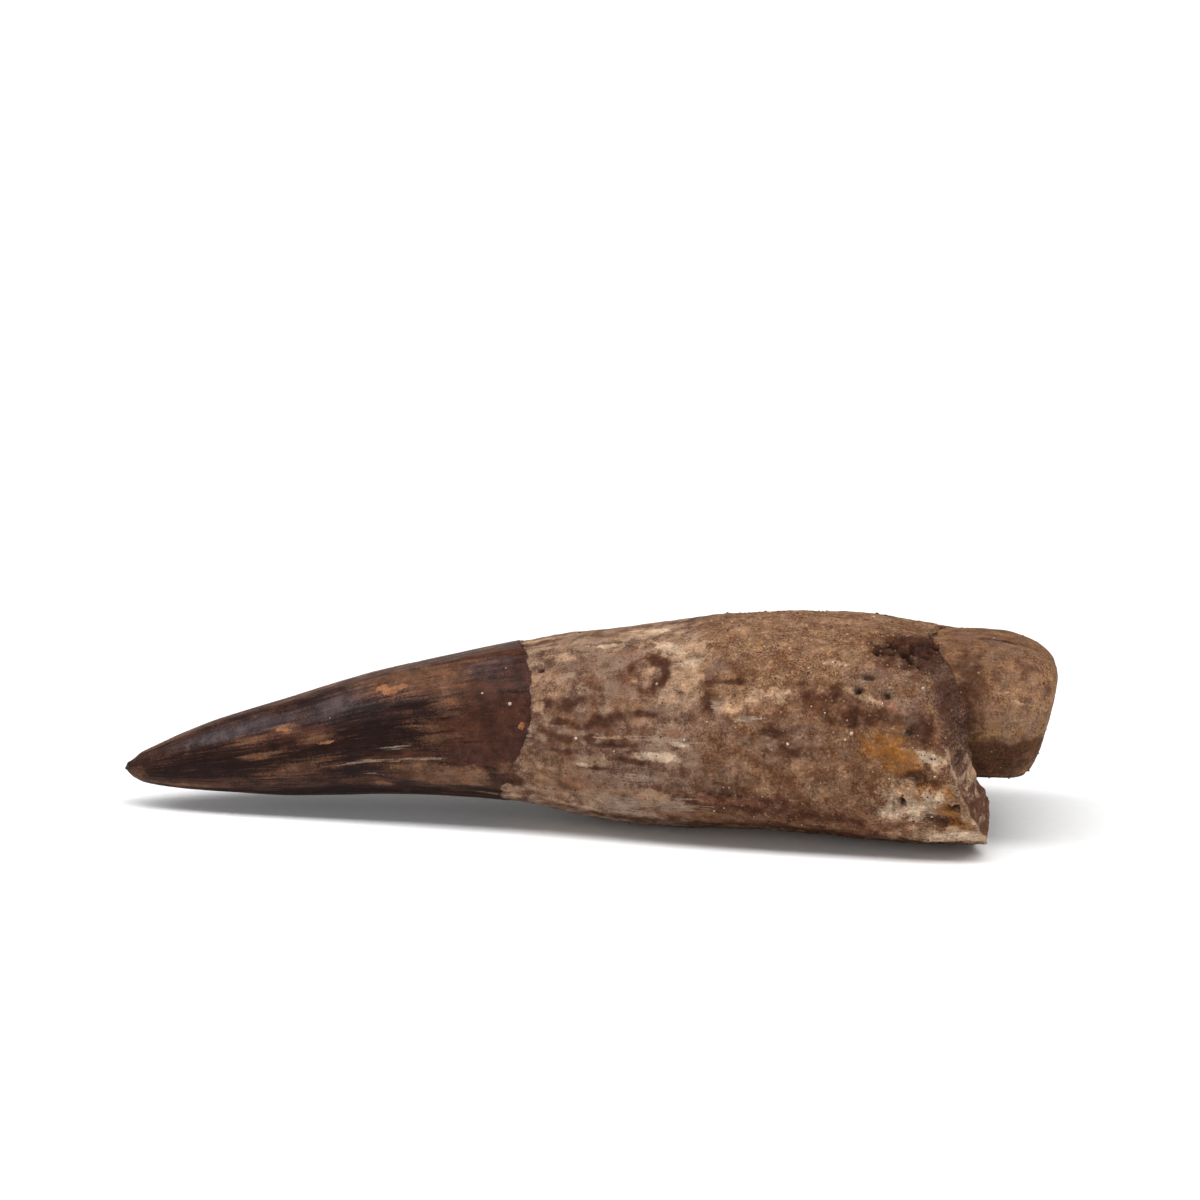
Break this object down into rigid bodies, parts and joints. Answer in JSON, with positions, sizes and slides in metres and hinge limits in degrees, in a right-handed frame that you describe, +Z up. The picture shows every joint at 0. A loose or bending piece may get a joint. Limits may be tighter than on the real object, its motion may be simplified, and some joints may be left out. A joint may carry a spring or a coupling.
{
  "type": "fossil spinosaurus tooth",
  "caption": "Fossil conical tooth lying on its side: smooth pointed crown, long rough root and a broken end with its core standing out.",
  "frame": {"origin": "middle of the bottom of the bounding box, on the surface that the tooth lies on", "axes": "+X along the tooth from the tip of the crown to the broken end, +Z up, -Y the side with the broken wall"},
  "size_m": [0.0846, 0.0216, 0.0196],
  "materials": {
    "fossil": "satin"
  },
  "bodies": {
    "root": {"tooth": "fossil"}
  },
  "joints": []
}
